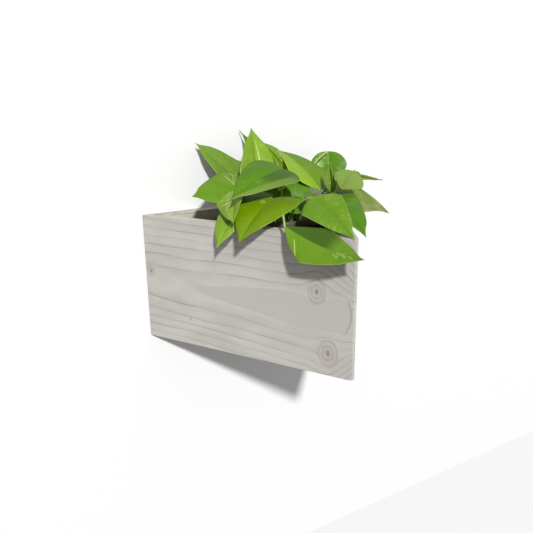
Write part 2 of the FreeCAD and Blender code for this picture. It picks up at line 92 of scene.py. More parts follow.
class Finish:
    # One material, or the world, and its nodes.
    def __init__(self, name, owner=None):
        self.owner = owner or bpy.data.materials.new(name)
        self.owner.use_nodes = True
        self.tree = self.owner.node_tree
        self.shader = self.tree.nodes.get("Principled BSDF")

    def node(self, kind, settings, inputs, output=0):
        made = self.tree.nodes.new("ShaderNode" + kind)
        for key, value in settings.items():
            setattr(made, key, value)
        for key, value in inputs.items():
            self.feed(made.inputs[key], value)
        return Signal(self, made.outputs[output])

    def feed(self, socket, value):
        if isinstance(value, Signal):
            self.tree.links.new(value.socket, socket)
        else:
            socket.default_value = value

    def surface(self, **inputs):
        for key, value in inputs.items():
            self.feed(self.shader.inputs[key.replace("_", " ")], value)
        return self.owner

    def math(self, operation, *values):
        return self.node("Math", {"operation": operation}, dict(enumerate(values)))

    def most(self, value, other):
        return self.math("MAXIMUM", value, other)

    def least(self, value, other):
        return self.math("MINIMUM", value, other)

    def ramp(self, value, low, high):
        # 0 below low, 1 above high, smooth between; falls instead when low is above high
        return self.node("MapRange", {"interpolation_type": "SMOOTHSTEP"},
                         {"Value": value, "From Min": low, "From Max": high})

    def mix(self, share, first, second):
        return self.node("Mix", {"data_type": "RGBA"}, {0: share, 6: first, 7: second}, 2)

    def noise(self, vector, scale, detail=2.0, roughness=0.5):
        return self.node("TexNoise", {}, {"Vector": vector, "Scale": scale, "Detail": detail,
                                          "Roughness": roughness})

    def vector(self, x, y, z):
        return self.node("CombineXYZ", {}, {"X": x, "Y": y, "Z": z})

    def parts(self, vector):
        split = self.node("SeparateXYZ", {}, {0: vector}).socket.node
        return [Signal(self, output) for output in split.outputs]

    def bump(self, height, distance):
        return self.node("Bump", {}, {"Height": height, "Distance": distance, "Strength": 1.0})


# whitewashed boards
pine = {
    "halfLength": 126,
    "face": 72.746,             # from the triangle's middle to a board's outer face
    "wash": paint(201, 198, 192),
    "washThin": paint(192, 188, 182),
    "washFar": paint(186, 181, 177),
    "line": paint(158, 152, 146),
    "figure": paint(189, 184, 180),
    "knot": paint(178, 171, 162),
    "knotHeart": paint(140, 128, 114),
    "cream": paint(222, 218, 204),
    "creamDeep": paint(196, 188, 170),
    "ringStep": 7.2,            # between two lines of the grain
    "pith": 40,
    "sway": 9,
    "swayOver": (85, 30, 40),   # noise stretched over so much length, height and depth
    "fibreOver": (26, 0.8, 0.8),
    "blotchOver": (40, 22, 12),
    "leanFrom": 214,            # where the lines start to lean, near the board's end
    "leanBend": 62,
    "closeAt": 247,             # where the figure closes in a curve
    "closeHeight": -4,
    "closeBend": 60,
    "knotSquash": 0.55,
    "knotWobble": 3.6,
    "knotPull": 0.9,            # how far the grain is drawn round a knot
    "knotRings": 0.42,          # between a knot's rings, as a share of its radius
}
# How strongly each mark shows on the boards.
pineMarks = {"washFar": 0.45, "figure": 0.85, "line": 0.95, "fibre": 0.16, "knot": 0.3, "knotRing": 0.5,
             "knotHeart": 0.7, "speck": 0.6}
# Where each board's grain figure has its tip (along from the left end, height), how it opens, its knots
# (along, height, radius), its specks (along, height, size, colour), and whether its outside is washed white.
boardLooks = {
    "front_panel": {"turn": (0, 0, 120), "tip": (71, -4), "open": 1.6, "flare": 0.008, "seed": 1.7,
                    "knots": [(9.5, 8.2, 5), (211.3, 14.6, 9.5), (224, -46.2, 10.5)], "washed": True,
                    "specks": [(42.6, 27.9, 1.3, paint(220, 218, 214)),
                               (60.5, -40.4, 1.9, paint(150, 142, 134))]},
    "side_panel": {"turn": (0, 0, 240), "tip": (40, 12), "open": 1.2, "flare": 0.004, "seed": 8.3,
                   "knots": [(96, -38, 8), (190, 33, 6)], "washed": True},
    "back_panel": {"turn": (0, 0, 0), "tip": (150, 20), "open": 1.4, "flare": 0.006, "seed": 15.1,
                   "knots": [(60, 30, 7), (205, -20, 9)], "washed": True},
    "floor_panel": {"turn": (90, 0, 0), "tip": (60, 30), "open": 1.5, "flare": 0.004, "seed": 22.9,
                    "knots": [], "washed": False},
}


def pineFinish(name, look):
    wood = Finish(name)
    point = wood.node("TexCoord", {}, {}, "Object")
    local = wood.node("Mapping", {"vector_type": "TEXTURE"},
                      {"Vector": point, "Location": middle, "Scale": (mm, mm, mm),
                       "Rotation": [math.radians(a) for a in look["turn"]]})
    x, outward, height = wood.parts(local)
    along = pine["halfLength"] - x
    seed = look["seed"]

    def stretched(over, detail, roughness=0.5):
        long, tall, deep = over
        place = wood.vector(along / long, height / tall, outward / deep + seed)
        return wood.noise(place, 1, detail, roughness)

    # the grain's own height, pulled towards each knot so that the lines part round it
    sway = stretched(pine["swayOver"], 1) - 0.5
    tipAlong, tipHeight = look["tip"]
    grain = height + sway * pine["sway"]
    knotFill, knotHeart, knotRing = 0, 0, 0
    for knotAlong, knotHeight, radius in look["knots"]:
        aside, above = along - knotAlong, height - knotHeight
        wobble = wood.noise(wood.vector(along / 5, height / 5, seed + knotAlong), 1, 2) - 0.5
        far = wood.math("SQRT", aside * aside + above * above * pine["knotSquash"])
        far = far + wobble * pine["knotWobble"]
        near = wood.math("EXPONENT", far * far / (-2.1 * radius * radius))
        grain = grain - above * near * pine["knotPull"]
        knotFill = wood.most(knotFill, wood.ramp(far, radius, radius * 0.82))
        knotHeart = wood.most(knotHeart, wood.ramp(far, radius * 0.3, radius * 0.12))
        ring = wood.math("SINE", far * (2 * math.pi / (radius * pine["knotRings"]))) * 0.5 + 0.5
        knotRing = wood.most(knotRing, ring * wood.ramp(far, radius * 1.25, radius * 0.9))
    end = wood.most(along - pine["leanFrom"], 0)
    lean = wood.least(wood.most((height + 8) / 40, -1), 1)
    grain = grain + end * end / pine["leanBend"] * lean

    side = grain - tipHeight + (along - tipAlong) * 0.03
    ahead = along - tipAlong
    onward = wood.most(ahead, 0)
    field = side * side - ahead * look["open"] - onward * onward * look["flare"]
    rings = wood.math("SQRT", wood.most(field + pine["pith"] ** 2, 0)) / pine["ringStep"]
    phase = wood.math("FRACT", rings + seed)
    # the figure closes in a curve before the board's end
    rise = height - pine["closeHeight"]
    closing = along + rise * rise / pine["closeBend"] - pine["closeAt"]
    inside = wood.ramp(field, 26, -10) * wood.ramp(closing, 2, -1)
    closingLine = wood.ramp(abs(closing), 1.6, 0.3) * wood.ramp(abs(height + 5), 22, 14)
    strength = wood.noise(wood.vector(along / 60, height / 9, seed), 1, 2) * 1.5 - 0.25
    soft, crisp = wood.ramp(phase, 0.35, 0.95) * 0.35, wood.ramp(phase, 0.78, 0.93) * 0.65
    line = (soft + crisp) * wood.ramp(phase, 1.0, 0.95) * (1 - inside) * wood.most(strength, 0.2)
    line = wood.most(line, closingLine * 0.6) * (1 - knotFill)
    fibre = stretched(pine["fibreOver"], 2, 0.6)
    blotch = stretched(pine["blotchOver"], 3)

    outer = wood.ramp(outward, pine["face"] - 1.4, pine["face"] - 0.4) if look["washed"] else 0
    wash = wood.mix(wood.ramp(blotch, 0.35, 0.68), pine["wash"], pine["washThin"])
    cream = wood.mix(wood.ramp(blotch, 0.4, 0.75), pine["cream"], pine["creamDeep"])
    colour = wood.mix(outer, cream, wash)
    colour = wood.mix(wood.ramp(along, 90, 240) * outer * pineMarks["washFar"], colour, pine["washFar"])
    colour = wood.mix(inside * pineMarks["figure"], colour, pine["figure"])
    colour = wood.mix(line * pineMarks["line"], colour, pine["line"])
    colour = wood.mix(wood.ramp(fibre, 0.52, 0.8) * pineMarks["fibre"], colour, pine["line"])
    colour = wood.mix(knotFill * pineMarks["knot"], colour, pine["knot"])
    colour = wood.mix(knotRing * pineMarks["knotRing"], colour, pine["line"])
    colour = wood.mix(knotHeart * pineMarks["knotHeart"], colour, pine["knotHeart"])
    for speckAlong, speckHeight, size, tint in look.get("specks", []):
        aside, above = along - speckAlong, height - speckHeight
        speck = wood.ramp(wood.math("SQRT", aside * aside + above * above), size, size * 0.4)
        colour = wood.mix(speck * outer * pineMarks["speck"], colour, tint)
    grit = wood.noise(local, 1.1, 2)
    relief = line * 0.2 + fibre * 0.06 + knotRing * 0.12 - inside * 0.1 + grit * 0.03
    return wood.surface(Base_Color=colour, Roughness=0.62 + fibre * 0.14, Normal=wood.bump(relief, mm),
                        Specular_IOR_Level=0.25)


def wear(obj, *finishes):
    obj.data.materials.clear()
    for finish in finishes:
        obj.data.materials.append(finish)


for board, look in boardLooks.items():
    wear(nodes[board], pineFinish(board, look))
print("boards finished")


# metal
metalLooks = {
    "steel_brads": {"nodes": ["floor_brads", "corner_brads"], "colour": paint(178, 178, 180),
                    "dull": paint(140, 138, 136), "roughness": 0.3},
    "zinc_plate": {"nodes": ["keyhole_hanger_left", "keyhole_hanger_right"], "colour": paint(200, 202, 205),
                   "dull": paint(168, 171, 176), "roughness": 0.34},
    "zinc_screws": {"nodes": ["hanger_screws"], "colour": paint(196, 196, 192), "dull": paint(160, 160, 158),
                    "roughness": 0.28},
}


def metalFinish(name, look):
    metal = Finish(name)
    point = metal.node("TexCoord", {}, {}, "Object")
    cloud = metal.noise(point, 220, 3)
    scratch = metal.noise(metal.node("Mapping", {}, {"Vector": point, "Scale": (1200, 60, 60)}), 1, 2)
    metal.surface(Base_Color=metal.mix(metal.ramp(cloud, 0.4, 0.7), look["colour"], look["dull"]),
                  Metallic=1.0, Roughness=look["roughness"] + scratch * 0.16,
                  Normal=metal.bump(scratch, 0.02 * mm))
    return metal.owner


for name, look in metalLooks.items():
    metal = metalFinish(name, look)
    for node in look["nodes"]:
        wear(nodes[node], metal)
print("metal finished")


# shared modelling
def finished(name, bm, body, slot, *finishes, replaces=()):
    mesh = bpy.data.meshes.new(name)
    for face in bm.faces:
        face.smooth = True
    bm.to_mesh(mesh)
    bm.free()
    piece = bpy.data.objects.new(name, mesh)
    bpy.context.scene.collection.objects.link(piece)
    wear(piece, *finishes)
    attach(piece, body)
    if replaces:
        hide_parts(*replaces)
    return piece


def lathe(bm, points, steps, centre=(0, 0, 0)):
    # turns a chain of (radius, height) points a full turn about an upright line through centre
    chain = [bm.verts.new((radius, 0, height)) for radius, height in points]
    edges = [bm.edges.new(pair) for pair in zip(chain, chain[1:])]
    bmesh.ops.spin(bm, geom=chain + edges, cent=(0, 0, 0), axis=(0, 0, 1), angle=2 * math.pi, steps=steps,
                   use_merge=True, use_duplicate=False)
    turned = [v for v in bm.verts if not v.tag]
    bmesh.ops.remove_doubles(bm, verts=turned, dist=1e-6)
    turned = [v for v in bm.verts if not v.tag]
    bmesh.ops.translate(bm, verts=turned, vec=centre)
    for vert in turned:
        vert.tag = True
    return turned


def outwards(bm):
    bmesh.ops.recalc_face_normals(bm, faces=bm.faces)


# brad filler, flush in every face
filler = {"radius": 0.64, "depth": 0.9, "sides": 12, "length": 252, "inset": 11, "pitch": 45, "spacing": 50,
          "rise": -61}


def addFiller():
    bm = bmesh.new()
    half, face = filler["length"] / 2, pine["face"]
    places = [(side * filler["spacing"], filler["rise"]) for side in (-1, 1)]
    places += [(half - filler["inset"], n * filler["pitch"]) for n in (-1, 0, 1)]
    for yaw in (0, 120, 240):
        for x, z in places:
            made = bmesh.ops.create_cone(bm, cap_ends=True, segments=filler["sides"],
                                         radius1=filler["radius"] * mm, radius2=filler["radius"] * mm,
                                         depth=filler["depth"] * mm)
            spot = Vector((x, face - filler["depth"] / 2, z)) * mm
            place = Matrix.Translation(middle) @ Matrix.Rotation(math.radians(yaw), 4, "Z")
            place = place @ Matrix.Translation(spot) @ Matrix.Rotation(math.radians(90), 4, "X")
            bmesh.ops.transform(bm, matrix=place, verts=made["verts"])
    outwards(bm)
    putty = Finish("brad_filler")
    tint = putty.noise(putty.node("TexCoord", {}, {}, "Object"), 900, 2)
    putty.surface(Base_Color=putty.mix(tint, paint(212, 210, 205), paint(196, 192, 186)), Roughness=0.8)
    finished("brad_filler", bm, "planter", "whitewashed_pine", putty.owner)


addFiller()
print("filler made")

# nursery pot
pot = {"foot": 43, "top": 56.046, "rim": 57.846, "wall": 1.2, "rimDepth": 9, "floor": 1.8, "ribs": 96,
       "ribDepth": 0.4, "steps": 576, "rows": 6, "floorSteps": 96, "drains": 6, "drainRadius": 4,
       "drainCircle": 28, "drainSteps": 20}


def addPot():
    low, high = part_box("nursery_pot")
    bottom, top = low.z / mm, high.z / mm
    under = top - pot["rimDepth"]
    wall, foot, upper, rim = pot["wall"], pot["foot"], pot["top"], pot["rim"]
    bm = bmesh.new()
    rows = pot["rows"]
    outer = [(foot + (upper - foot) * n / rows, bottom + (under - bottom) * n / rows)
             for n in range(rows + 1)]
    lip = [(rim - 0.4, under), (rim, under + 0.5), (rim, top - 0.5), (rim - 0.5, top),
           (upper - wall + 0.4, top)]
    inner = [(upper - wall, top - 0.4), (upper - wall, under)]
    inner += [(radius - wall, height) for radius, height in reversed(outer[1:-1])]
    inner += [(foot - wall, bottom)]
    ring = outer + lip + inner
    chain = [bm.verts.new((radius * mm, 0, height * mm)) for radius, height in ring]
    edges = [bm.edges.new((chain[n - 1], chain[n])) for n in range(len(chain))]
    bmesh.ops.spin(bm, geom=chain + edges, cent=(0, 0, 0), axis=(0, 0, 1), angle=2 * math.pi,
                   steps=pot["steps"], use_merge=True, use_duplicate=False)
    for vert in bm.verts:
        radius = math.hypot(vert.co.x, vert.co.y)
        onRim = radius > (upper + 0.6) * mm
        if onRim or vert.co.z > (top - 0.6) * mm:
            continue
        rib = math.cos(math.atan2(vert.co.y, vert.co.x) * pot["ribs"]) * pot["ribDepth"] * mm
        vert.co.xy *= (radius + rib) / radius
    # the floor, with its ring of drain holes
    loops = bmesh.ops.create_circle(bm, segments=pot["floorSteps"], radius=(foot - wall) * mm)["verts"]
    for n in range(pot["drains"]):
        turn = math.radians(n * 360 / pot["drains"])
        spot = Vector((math.cos(turn), math.sin(turn), 0)) * pot["drainCircle"] * mm
        loops += bmesh.ops.create_circle(bm, segments=pot["drainSteps"], radius=pot["drainRadius"] * mm,
                                         matrix=Matrix.Translation(spot))["verts"]
    rings = {edge for vert in loops for edge in vert.link_edges}
    filled = bmesh.ops.triangle_fill(bm, use_beauty=True, use_dissolve=False, edges=list(rings))
    faces = [item for item in filled["geom"] if isinstance(item, bmesh.types.BMFace)]
    bmesh.ops.translate(bm, verts=loops, vec=(0, 0, bottom * mm))
    raised = bmesh.ops.extrude_face_region(bm, geom=faces, use_keep_orig=True)
    lifted = [item for item in raised["geom"] if isinstance(item, bmesh.types.BMVert)]
    bmesh.ops.translate(bm, verts=lifted, vec=(0, 0, pot["floor"] * mm))
    bmesh.ops.translate(bm, verts=bm.verts, vec=middle)
    outwards(bm)
    plastic = Finish("dark_pot")
    point = plastic.node("TexCoord", {}, {}, "Object")
    dust = plastic.noise(point, 60, 4)
    colour = plastic.mix(plastic.ramp(dust, 0.45, 0.75), paint(70, 75, 50), paint(100, 98, 72))
    plastic.surface(Base_Color=colour, Roughness=0.42 + dust * 0.25,
                    Normal=plastic.bump(plastic.noise(point, 900, 2), 0.04 * mm))
    finished("ribbed_pot", bm, "potted_plant", "dark_pot", plastic.owner, replaces=["nursery_pot"])


addPot()
print("pot made")

# soil
soil = {"foot": 41.6, "rows": 34, "wallRows": 5, "steps": 110, "lump": 1.6, "sink": 0.8, "calmEdge": 6,
        "crumbs": 420, "smallest": 0.6, "largest": 2.3, "edgeFree": 3, "crumbSink": 0.7, "crumbLump": 0.6,
        "perlite": 26, "perliteSize": 0.7, "draws": 31}


def lumps(spot):
    # large and small lumps, at a place in millimetres
    return noise.noise(spot / 9) + 0.5 * noise.noise(spot / 3.4)


def addSoil():
    low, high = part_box("potting_soil")
    radius, top, bottom = (high.x - low.x) / 2 / mm, high.z / mm, low.z / mm
    foot, rows, down = soil["foot"], soil["rows"], soil["wallRows"]
    bm = bmesh.new()
    chain = [(radius * n / rows, top) for n in range(rows + 1)]
    chain += [(radius + (foot - radius) * n / down, top + (bottom - top) * n / down)
              for n in range(1, down + 1)]
    chain += [(foot / 2, bottom), (0, bottom)]
    lathe(bm, [(r * mm, h * mm) for r, h in chain], soil["steps"])
    for vert in bm.verts:
        if vert.co.z > (top - 0.1) * mm:
            away = math.hypot(vert.co.x, vert.co.y) / mm
            calm = min(1, (radius - away) / soil["calmEdge"])
            vert.co.z += (lumps(vert.co / mm) * soil["lump"] * calm - soil["sink"]) * mm
    draw = random.Random(soil["draws"])
    for n in range(soil["crumbs"]):
        reach = (radius - soil["edgeFree"]) * math.sqrt(draw.random())
        turn = draw.random() * 2 * math.pi
        size = draw.uniform(soil["smallest"], soil["largest"])
        size *= soil["perliteSize"] if n < soil["perlite"] else 1
        spot = Vector((reach * math.cos(turn), reach * math.sin(turn), top - soil["crumbSink"]))
        spot.z += lumps(spot) * soil["lump"] * soil["crumbLump"]
        squash = Matrix.Diagonal((draw.uniform(0.8, 1.3), draw.uniform(0.7, 1.1), draw.uniform(0.5, 0.9), 1))
        place = Matrix.Translation(spot * mm) @ Matrix.Rotation(draw.random() * 6, 4, "Z") @ squash
        made = bmesh.ops.create_icosphere(bm, subdivisions=1, radius=size * mm, matrix=place)
        if n < soil["perlite"]:
            for face in {face for vert in made["verts"] for face in vert.link_faces}:
                face.material_index = 1
    bmesh.ops.translate(bm, verts=bm.verts, vec=middle)
    outwards(bm)
    earth = Finish("potting_soil")
    point = earth.node("TexCoord", {}, {}, "Object")
    clod, grit = earth.noise(point, 160, 4, 0.7), earth.noise(point, 900, 3, 0.7)
    colour = earth.mix(earth.ramp(clod, 0.35, 0.7), paint(52, 42, 30), paint(92, 76, 54))
    colour = earth.mix(earth.ramp(grit, 0.6, 0.75) * 0.5, colour, paint(124, 108, 82))
    earth.surface(Base_Color=colour, Roughness=0.95, Normal=earth.bump(clod + grit * 0.6, 1.2 * mm))
    perlite = Finish("perlite")
    speck = perlite.noise(perlite.node("TexCoord", {}, {}, "Object"), 1400, 2)
    perlite.surface(Base_Color=perlite.mix(speck, paint(206, 200, 186), paint(170, 162, 146)), Roughness=0.9)
    finished("soil_surface", bm, "potted_plant", "potting_soil", earth.owner, perlite.owner,
             replaces=["potting_soil"])


addSoil()
print("soil made")

# leaves
# Each leaf as it grows: the petiole's joint with the blade (right of, behind and above the middle of the
# mouth); the midrib's heading, its pitch and the blade's roll; length and width; bend radius of the midrib;
# fold of its two halves; how far the lobes reach back and where the blade is widest, as shares of its length;
# the petiole's foot in the soil; and its tone and how much it is marbled.
leaves = {
    "leaf_01": ((-17, 49, 31), (162, 44, -40), (64, 47), 1000, 5, 0.12, 0.22, (-10, 22), "soft", 0.2),
    "leaf_02": ((-31, 18, 30), (-168, -2, -39), (64, 52), 1000, -10, 0.15, 0.22, (-22, 10), "fresh", 0.3),
    "leaf_03": ((-11, 18, 32), (58, 67, 35), (67, 50), 185, 15, 0.1, 0.22, (-6, 8), "bright", 0.5),
    "leaf_04": ((-6, -27, 51), (-159, -2, -19), (78, 55), 139, -2, 0.05, 0.25, (2, -12), "deep", 0.2),
    "leaf_05": ((-29, -45, 24.5), (-154, -13, -4), (66, 64), 111, 7, 0.15, 0.22, (-10, -24), "olive", 0.1),
    "leaf_06": ((-52, -11, 30), (-125, -21, 38), (54, 42), 260, 8, 0.12, 0.22, (-30, -4), "bright", 0.7),
    "leaf_07": ((-60, -25, 11), (-152, -34, 6), (46, 35), 250, 3, 0.1, 0.22, (-32, -14), "bright", 0.2),
    "leaf_08": ((-44, -91, 7), (-64, -25, 35), (93, 46), -145, -8, -0.14, 0.37, (-19, -41), "fresh", 0.35),
    "leaf_09": ((0, -72, 27), (-95, -15, 22), (77, 44), 370, 2, -0.07, 0.25, (-6, -37), "fresh", 0.3),
    "leaf_10": ((31, -50, 21), (-93, -8, -5), (80, 57), 190, 12, 0.08, 0.22, (16, -28), "deep", 0.2),
    "leaf_11": ((68, -33, 16), (-3, -8, 27), (80, 61), 155, 7, 0.12, 0.22, (42, -18), "pale", 1.0),
    "leaf_12": ((75, -43.5, 45), (-148, -22, 153), (43, 34), 300, 8, -0.05, 0.4, (48, -14), "soft", 0.2),
    "leaf_13": ((56, -32, 20), (10, 103, 22), (38, 15), 250, 31, -0.1, 0.35, (30, -16), "soft", 0.3),
    "leaf_14": ((47, -19, 24), (89, 36, 13), (92, 70), 207, 6, -0.02, 0.22, (30, -2), "lime", 0.3),
    "leaf_15": ((15, 32, 43), (126, 50, -60), (60, 39), 188, 10, 0.05, 0.27, (10, 12), "soft", 0.2),
    "leaf_16": ((101, 39, 57), (-123, -62, 0), (54, 44), 120, 8, -0.04, 0.32, (42, 14), "deep", 0.4),
    "leaf_17": ((12, 8, 34), (-120, -12, -20), (28, 22), 120, 8, 0.12, 0.22, (20, 6), "bright", 0.4),
    "leaf_18": ((25, -8, 18), (172, 0, -10), (22, 24), 150, 8, 0.12, 0.22, (27, 0), "deep", 0.2),
}
# Small leaves of the picture that have no solid of their own, written the same way.
smallLeaves = {
    "inner_leaf": ((24, -22, 17), (140, 12, -50), (54, 40), 160, 4, 0.1, 0.25, (16, -8), "deep", 0.0),
    "young_leaf": ((17, 1, 25), (146, 12, -52), (32, 22), 120, 6, 0.1, 0.25, (10, 4), "bright", 0.4),
    "rolled_leaf": ((79, -30, 37), (-36, -5, 70), (38, 7), 160, 30, 0.0, 0.3, (44, -8), "pale", 0.0),
    "sliver_leaf": ((27, 12, 38), (127, 52, -50), (38, 12), 220, 20, 0.0, 0.35, (16, 12), "olive", 0.0),
}
# Main colour, lighter marbling, palest streaks, the underside, and the painted shade for the half that lies
# in shade.
tones = {
    "fresh": (paint(97, 140, 22), paint(116, 154, 36), paint(200, 212, 132),
              paint(122, 148, 66), paint(62, 92, 18)),
    "deep": (paint(78, 126, 6), paint(94, 138, 16), paint(172, 198, 104),
             paint(120, 142, 62), paint(58, 90, 10)),
    "bright": (paint(118, 156, 34), paint(140, 176, 54), paint(208, 220, 142),
               paint(128, 156, 66), paint(92, 130, 30)),
    "lime": (paint(136, 180, 20), paint(154, 194, 44), paint(208, 220, 142),
             paint(128, 156, 66), paint(90, 128, 16)),
    "olive": (paint(106, 138, 4), paint(116, 148, 12), paint(150, 176, 60),
              paint(118, 142, 48), paint(84, 112, 10)),
    "soft": (paint(108, 144, 44), paint(128, 160, 62), paint(186, 200, 130),
             paint(128, 154, 74), paint(84, 118, 34)),
    "pale": (paint(112, 136, 44), paint(152, 164, 84), paint(196, 198, 128),
             paint(116, 136, 62), paint(96, 116, 44)),
}
# What single leaves show: the half darkened by painted shade where it lies in shade (side, end along the
# leaf, strength); where the marbling gathers and the cream dabs (along, across, half length, half width, all
# as shares); the narrow tip (where it starts, how narrow); a flatter fold; a pale rim (side, strength); and
# how pale the margin is.
details = {
    "leaf_02": {"marbling": (0.2, -0.45, 0.28, 0.5)},
    "leaf_03": {"dabs": [(0.7, -0.2, 0.22, 0.03)], "tip": (0.6, 0.35), "margin": 0.1},
    "leaf_04": {"shade": (1, 0.45, 0.7), "rimPale": (1, 0.8)},
    "leaf_05": {"fold": 3, "dabs": [(0.42, -0.15, 0.05, 0.08)], "tip": (0.7, 0.25)},
    "leaf_06": {"marbling": (0.4, -0.3, 0.45, 0.6)},
    "leaf_07": {"tip": (0.66, 0.6)},
    # leaf_08's marbling near its tip is a painted highlight: pale streaks where the leaf's gloss shows.
    "leaf_08": {"shade": (1, 0.55, 0.95), "dabs": [(0.38, -0.62, 0.011, 0.33)],
                "marbling": (0.87, -0.3, 0.08, 0.5), "margin": 0.5},
    "leaf_09": {"margin": 0.6},
    "leaf_10": {"margin": 0.4},
    "leaf_12": {"tip": (0.9, 0.2)},
    "leaf_14": {"shade": (-1, 1.2, 0.8)},
    "leaf_15": {"shade": (1, 1.2, 0.5), "tip": (0.25, 0.9)},
    "leaf_16": {"marbling": (0.3, -0.4, 0.25, 0.4)},
}
blade = {"rows": 60, "columns": 30, "skin": 0.9, "thick": 0.45, "reach": 2.2, "crease": 0.8,
         "creaseWidth": 2.0, "veins": 11, "veinSlant": 0.35, "quilt": 0.09, "bulge": 1.1, "wave": 1.0,
         "backShare": 0.45, "lobeOut": 0.5, "flankOut": 0.6, "grown": 1.0006, "tip": (0.76, 0.5)}
# How strongly each mark shows on a leaf's face, and on its underside.
marks = {"marbling": 0.6, "vein": 0.14, "dab": 0.75, "rib": 0.4, "margin": 0.22, "under": 0.1}


def arc(start, through, end):
    # the circle arc from start through a point to end, as a function of the share gone
    (ax, ay), (bx, by), (cx, cy) = start, through, end
    twice = 2 * (ax * (by - cy) + bx * (cy - ay) + cx * (ay - by))
    a, b, c = ax * ax + ay * ay, bx * bx + by * by, cx * cx + cy * cy
    x = (a * (by - cy) + b * (cy - ay) + c * (ay - by)) / twice
    y = (a * (cx - bx) + b * (ax - cx) + c * (bx - ax)) / twice
    radius, first = math.hypot(ax - x, ay - y), math.atan2(ay - y, ax - x)
    half, whole = ((math.atan2(q - y, p - x) - first) % (2 * math.pi) for p, q in (through, end))
    sweep = whole if half <= whole else whole - 2 * math.pi
    return lambda share: (x + radius * math.cos(first + share * sweep),
                          y + radius * math.sin(first + share * sweep))


def leafMatrix(at, turn):
    heading, pitch, roll = (math.radians(a) for a in turn)
    joint = Vector(at) * blade["grown"] * mm + middle + Vector((0, 0, mouth))
    return (Matrix.Translation(joint) @ Matrix.Rotation(heading, 4, "Z") @ Matrix.Rotation(-pitch, 4, "Y")
            @ Matrix.Rotation(roll, 4, "X"))


def leafFinish(name, colours, marbling, seed, under, look):
    main, light, streak, back, paintedShadeColour = colours
    leaf = Finish(name)
    place = leaf.node("Attribute", {"attribute_name": "place"}, {}, "Vector")
    along, aside, row = leaf.parts(place)
    point = leaf.node("TexCoord", {}, {}, "Object")
    _, v, _ = leaf.parts(leaf.node("TexCoord", {}, {}, "UV"))
    side = v * 2 - 1
    across = abs(side)
    rib = leaf.ramp(abs(aside), 0.75, 0.15)
    vein = leaf.math("FRACT", row * blade["veins"] + across * blade["veinSlant"])
    veinLine = leaf.ramp(abs(vein - 0.5), 0.12, 0.02) * (1 - across)
    cloud = leaf.noise(point, 60, 3)
    fleck = leaf.noise(leaf.vector(row * 30, side * 2.2, seed), 1, 3, 0.6)
    fine = leaf.noise(leaf.vector(row * 60, side * 3, seed + 4), 1, 2)

    def within(spot, blur=0.5):
        # 1 inside an ellipse on the leaf, fading out over its rim
        atRow, atSide, length, width = spot
        far = leaf.math("POWER", (row - atRow) / length, 2) + leaf.math("POWER", (side - atSide) / width, 2)
        return leaf.ramp(far + (fine - 0.5) * 1.2, 1 + blur, 1 - blur)

    if under:
        colour = leaf.mix(leaf.ramp(cloud, 0.3, 0.7), back, leaf.mix(0.35, back, main))
        colour = leaf.mix(rib * marks["under"], colour, light)
        colour = leaf.mix(veinLine * marks["under"], colour, light)
        return leaf.surface(Base_Color=colour, Roughness=0.55 + cloud * 0.15, Specular_IOR_Level=0.12,
                            Normal=leaf.bump(rib * 0.25 + veinLine * 0.2 + fine * 0.1, 0.5 * mm))
    colour = leaf.mix(leaf.ramp(cloud, 0.3, 0.72), main, leaf.mix(0.45, main, light))
    colour = leaf.mix(leaf.ramp(fine, 0.52, 0.7) * 0.3, colour, light)
    gathered = within(look["marbling"], 0.9) if "marbling" in look else leaf.ramp(cloud, 0.5, 0.62) * marbling
    patch = leaf.ramp(fleck, 0.48, 0.62) * gathered
    colour = leaf.mix(patch * marks["marbling"], colour, streak)
    colour = leaf.mix(veinLine * marks["vein"], colour, light)
    # Painted shade: from the base up to a share of its length, one half of the leaf is darkened in its colour
    # where it lies in shade.
    if "shade" in look:
        half, end, strength = look["shade"]
        paintedShadeMask = leaf.ramp(aside * half, -0.4, 1.2) * leaf.ramp(along, end + 0.1, end - 0.1)
        colour = leaf.mix(paintedShadeMask * strength, colour, paintedShadeColour)
    if "rimPale" in look:
        half, strength = look["rimPale"]
        pale = leaf.ramp(side * half, 0.55, 0.75) * leaf.ramp(row, 0.2, 0.4)
        colour = leaf.mix(pale * strength, colour, back)
    for dab in look.get("dabs", []):
        colour = leaf.mix(within(dab) * marks["dab"], colour, streak)
    colour = leaf.mix(rib * marks["rib"], colour, light)
    colour = leaf.mix(leaf.ramp(across, 0.965, 1.0) * look.get("margin", marks["margin"]), colour, streak)
    relief = fine * 0.25 - veinLine * 0.2 + cloud * 0.2
    return leaf.surface(Base_Color=colour, Roughness=0.27 + cloud * 0.14, Specular_IOR_Level=0.3,
                        Normal=leaf.bump(relief, 0.35 * mm))


